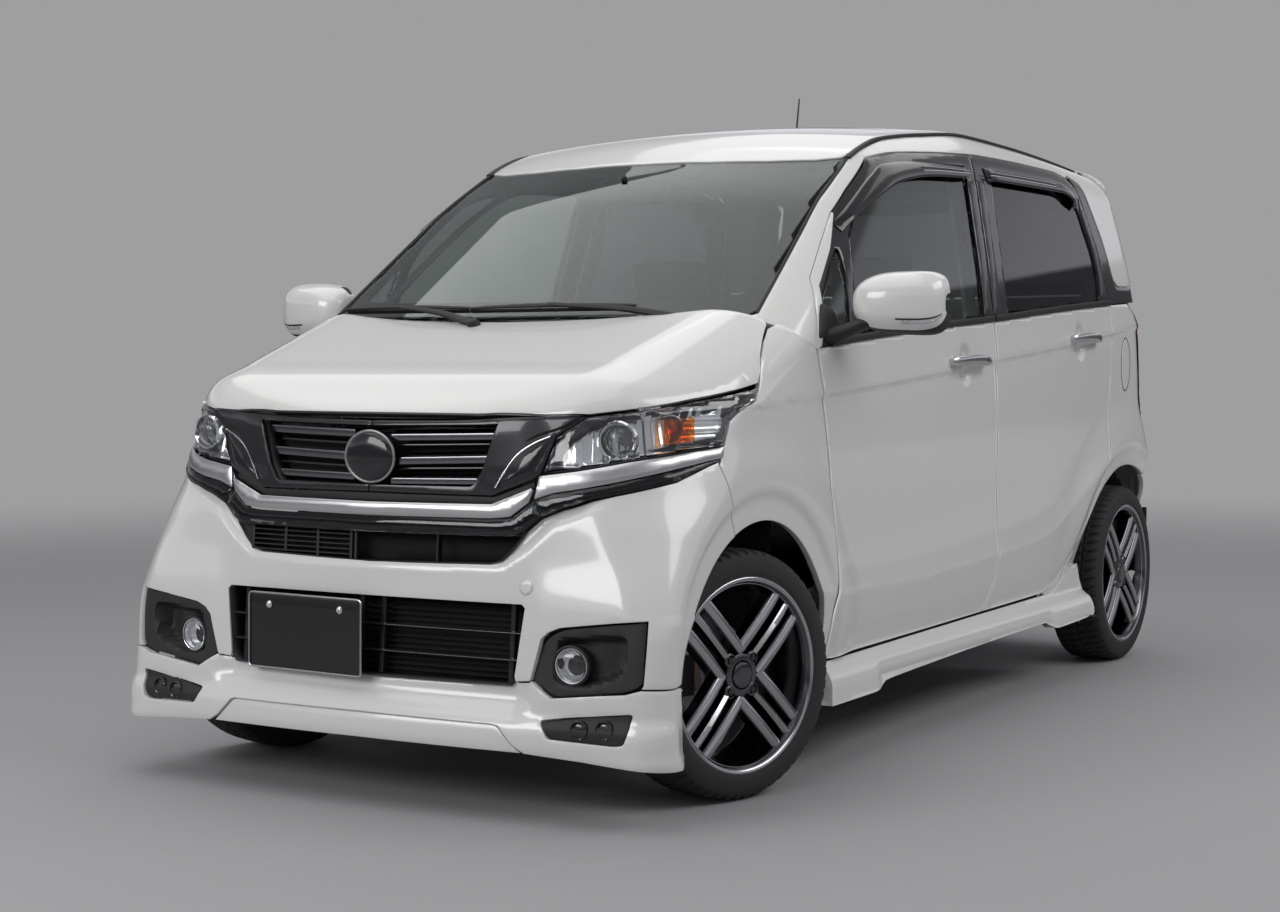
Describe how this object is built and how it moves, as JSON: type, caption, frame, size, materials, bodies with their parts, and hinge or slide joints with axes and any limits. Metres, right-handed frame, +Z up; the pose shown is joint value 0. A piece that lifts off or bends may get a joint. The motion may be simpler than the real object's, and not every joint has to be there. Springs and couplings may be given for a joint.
{
  "type": "kei car",
  "caption": "Small upright tall-wagon car with four hinged side doors, tailgate, bonnet, steered front wheels and an aero skirt kit, with an open hollow cabin",
  "frame": {"origin": "on the ground, in the middle of the overall length and width", "axes": "+Z up, front towards -Y, the car's own left towards +X"},
  "size_m": [1.95, 3.3946, 1.8425],
  "materials": {
    "paint_white": "pearl white gloss paint",
    "black_gloss": "gloss black trim",
    "black_matte": "matte black plastic",
    "underbody": "satin black coated steel",
    "chrome_trim": "polished",
    "lamp_clear": "clear lens",
    "lamp_red": "red lens",
    "glass_green": "tinted green glass",
    "glass_dark": "dark privacy glass",
    "tyre_rubber": "matte rubber",
    "rim_metal": "dark machined alloy",
    "steel": "machined steel",
    "engine_metal": "cast",
    "seat_cloth": "woven cloth"
  },
  "bodies": {
    "body": {"side_frame_left": "paint_white", "side_frame_right": "paint_white", "roof": "paint_white", "front_fenders": "paint_white", "front_bumper": "paint_white", "front_spoiler": "paint_white", "side_skirts": "paint_white", "rear_bumper": "paint_white", "upper_grille": "black_gloss", "lower_grilles": "black_matte", "cowl": "black_matte", "dashboard": "black_matte", "floor_pan": "underbody", "front_crossmember": "underbody", "rear_axle": "underbody", "chrome_band": "chrome_trim", "headlamps": "lamp_clear", "fog_lamps": "lamp_clear", "tail_lamps": "lamp_red", "windscreen": "glass_green", "exhaust": "steel", "engine_block": "engine_metal", "front_seats": "seat_cloth", "rear_seat": "seat_cloth"},
    "door_fl": {"door_front_left": "paint_white", "glass_front_left": "glass_green", "mirror_left": "paint_white"},
    "door_fr": {"door_front_right": "paint_white", "glass_front_right": "glass_green", "mirror_right": "paint_white"},
    "door_rl": {"door_rear_left": "paint_white", "glass_rear_left": "glass_dark"},
    "door_rr": {"door_rear_right": "paint_white", "glass_rear_right": "glass_dark"},
    "fuel_flap": {"fuel_lid": "paint_white"},
    "bonnet_panel": {"bonnet": "paint_white"},
    "tail_door": {"tailgate": "paint_white", "tailgate_glass": "glass_dark", "rear_spoiler": "paint_white"},
    "steering": {"steering_wheel": "black_matte"},
    "upright_left": {"knuckle_left": "steel"},
    "upright_right": {"knuckle_right": "steel"},
    "wheel_front_left": {"tyre_front_left": "tyre_rubber", "rim_front_left": "rim_metal"},
    "wheel_front_right": {"tyre_front_right": "tyre_rubber", "rim_front_right": "rim_metal"},
    "wheel_rear_left": {"tyre_rear_left": "tyre_rubber", "rim_rear_left": "rim_metal"},
    "wheel_rear_right": {"tyre_rear_right": "tyre_rubber", "rim_rear_right": "rim_metal"}
  },
  "joints": [
    {"name": "door_front_left_hinge", "type": "hinge", "parent": "body", "child": "door_fl", "pos_m": [0.737, -0.8795, 0.65], "axis": [0, 0, -1], "range_deg": [0, 70]},
    {"name": "door_front_right_hinge", "type": "hinge", "parent": "body", "child": "door_fr", "pos_m": [-0.737, -0.8795, 0.65], "axis": [0, 0, 1], "range_deg": [0, 70]},
    {"name": "door_rear_left_hinge", "type": "hinge", "parent": "body", "child": "door_rl", "pos_m": [0.737, 0.2005, 0.65], "axis": [0, 0, -1], "range_deg": [0, 75]},
    {"name": "door_rear_right_hinge", "type": "hinge", "parent": "body", "child": "door_rr", "pos_m": [-0.737, 0.2005, 0.65], "axis": [0, 0, 1], "range_deg": [0, 75]},
    {"name": "fuel_lid_hinge", "type": "hinge", "parent": "body", "child": "fuel_flap", "pos_m": [0.737, 1.281, 0.94], "axis": [0, 0, -1], "range_deg": [0, 95]},
    {"name": "bonnet_hinge", "type": "hinge", "parent": "body", "child": "bonnet_panel", "pos_m": [0, -1.028, 1.046], "axis": [-1, 0, 0], "range_deg": [0, 50]},
    {"name": "tailgate_hinge", "type": "hinge", "parent": "body", "child": "tail_door", "pos_m": [0, 1.306, 1.586], "axis": [1, 0, 0], "range_deg": [0, 78]},
    {"name": "steer_left", "type": "hinge", "parent": "body", "child": "upright_left", "pos_m": [0.597, -1.185, 0.2775], "axis": [0, 0, 1], "range_deg": [-17.5, 49.5]},
    {"name": "steer_right", "type": "hinge", "parent": "body", "child": "upright_right", "pos_m": [-0.597, -1.185, 0.2775], "axis": [0, 0, 1], "range_deg": [-17.5, 49.5]},
    {"name": "steering_wheel_turn", "type": "hinge", "parent": "body", "child": "steering", "pos_m": [-0.33, -0.395, 0.88], "axis": [0, 0.9063, 0.4226], "range_deg": [-281, 793]},
    {"name": "spin_front_left", "type": "hinge", "parent": "upright_left", "child": "wheel_front_left", "pos_m": [0.63545, -1.19603, 0.2775], "axis": [0.9613, -0.2756, 0], "continuous": true},
    {"name": "spin_front_right", "type": "hinge", "parent": "upright_right", "child": "wheel_front_right", "pos_m": [-0.63545, -1.17397, 0.2775], "axis": [0.9613, -0.2756, 0], "continuous": true},
    {"name": "spin_rear_left", "type": "hinge", "parent": "body", "child": "wheel_rear_left", "pos_m": [0.637, 1.335, 0.2775], "axis": [1, 0, 0], "continuous": true},
    {"name": "spin_rear_right", "type": "hinge", "parent": "body", "child": "wheel_rear_right", "pos_m": [-0.637, 1.335, 0.2775], "axis": [1, 0, 0], "continuous": true}
  ],
  "couplings": [
    {"joint": "steer_right", "follows": "steer_left", "ratio": 1},
    {"joint": "steering_wheel_turn", "follows": "steer_left", "ratio": 16}
  ]
}
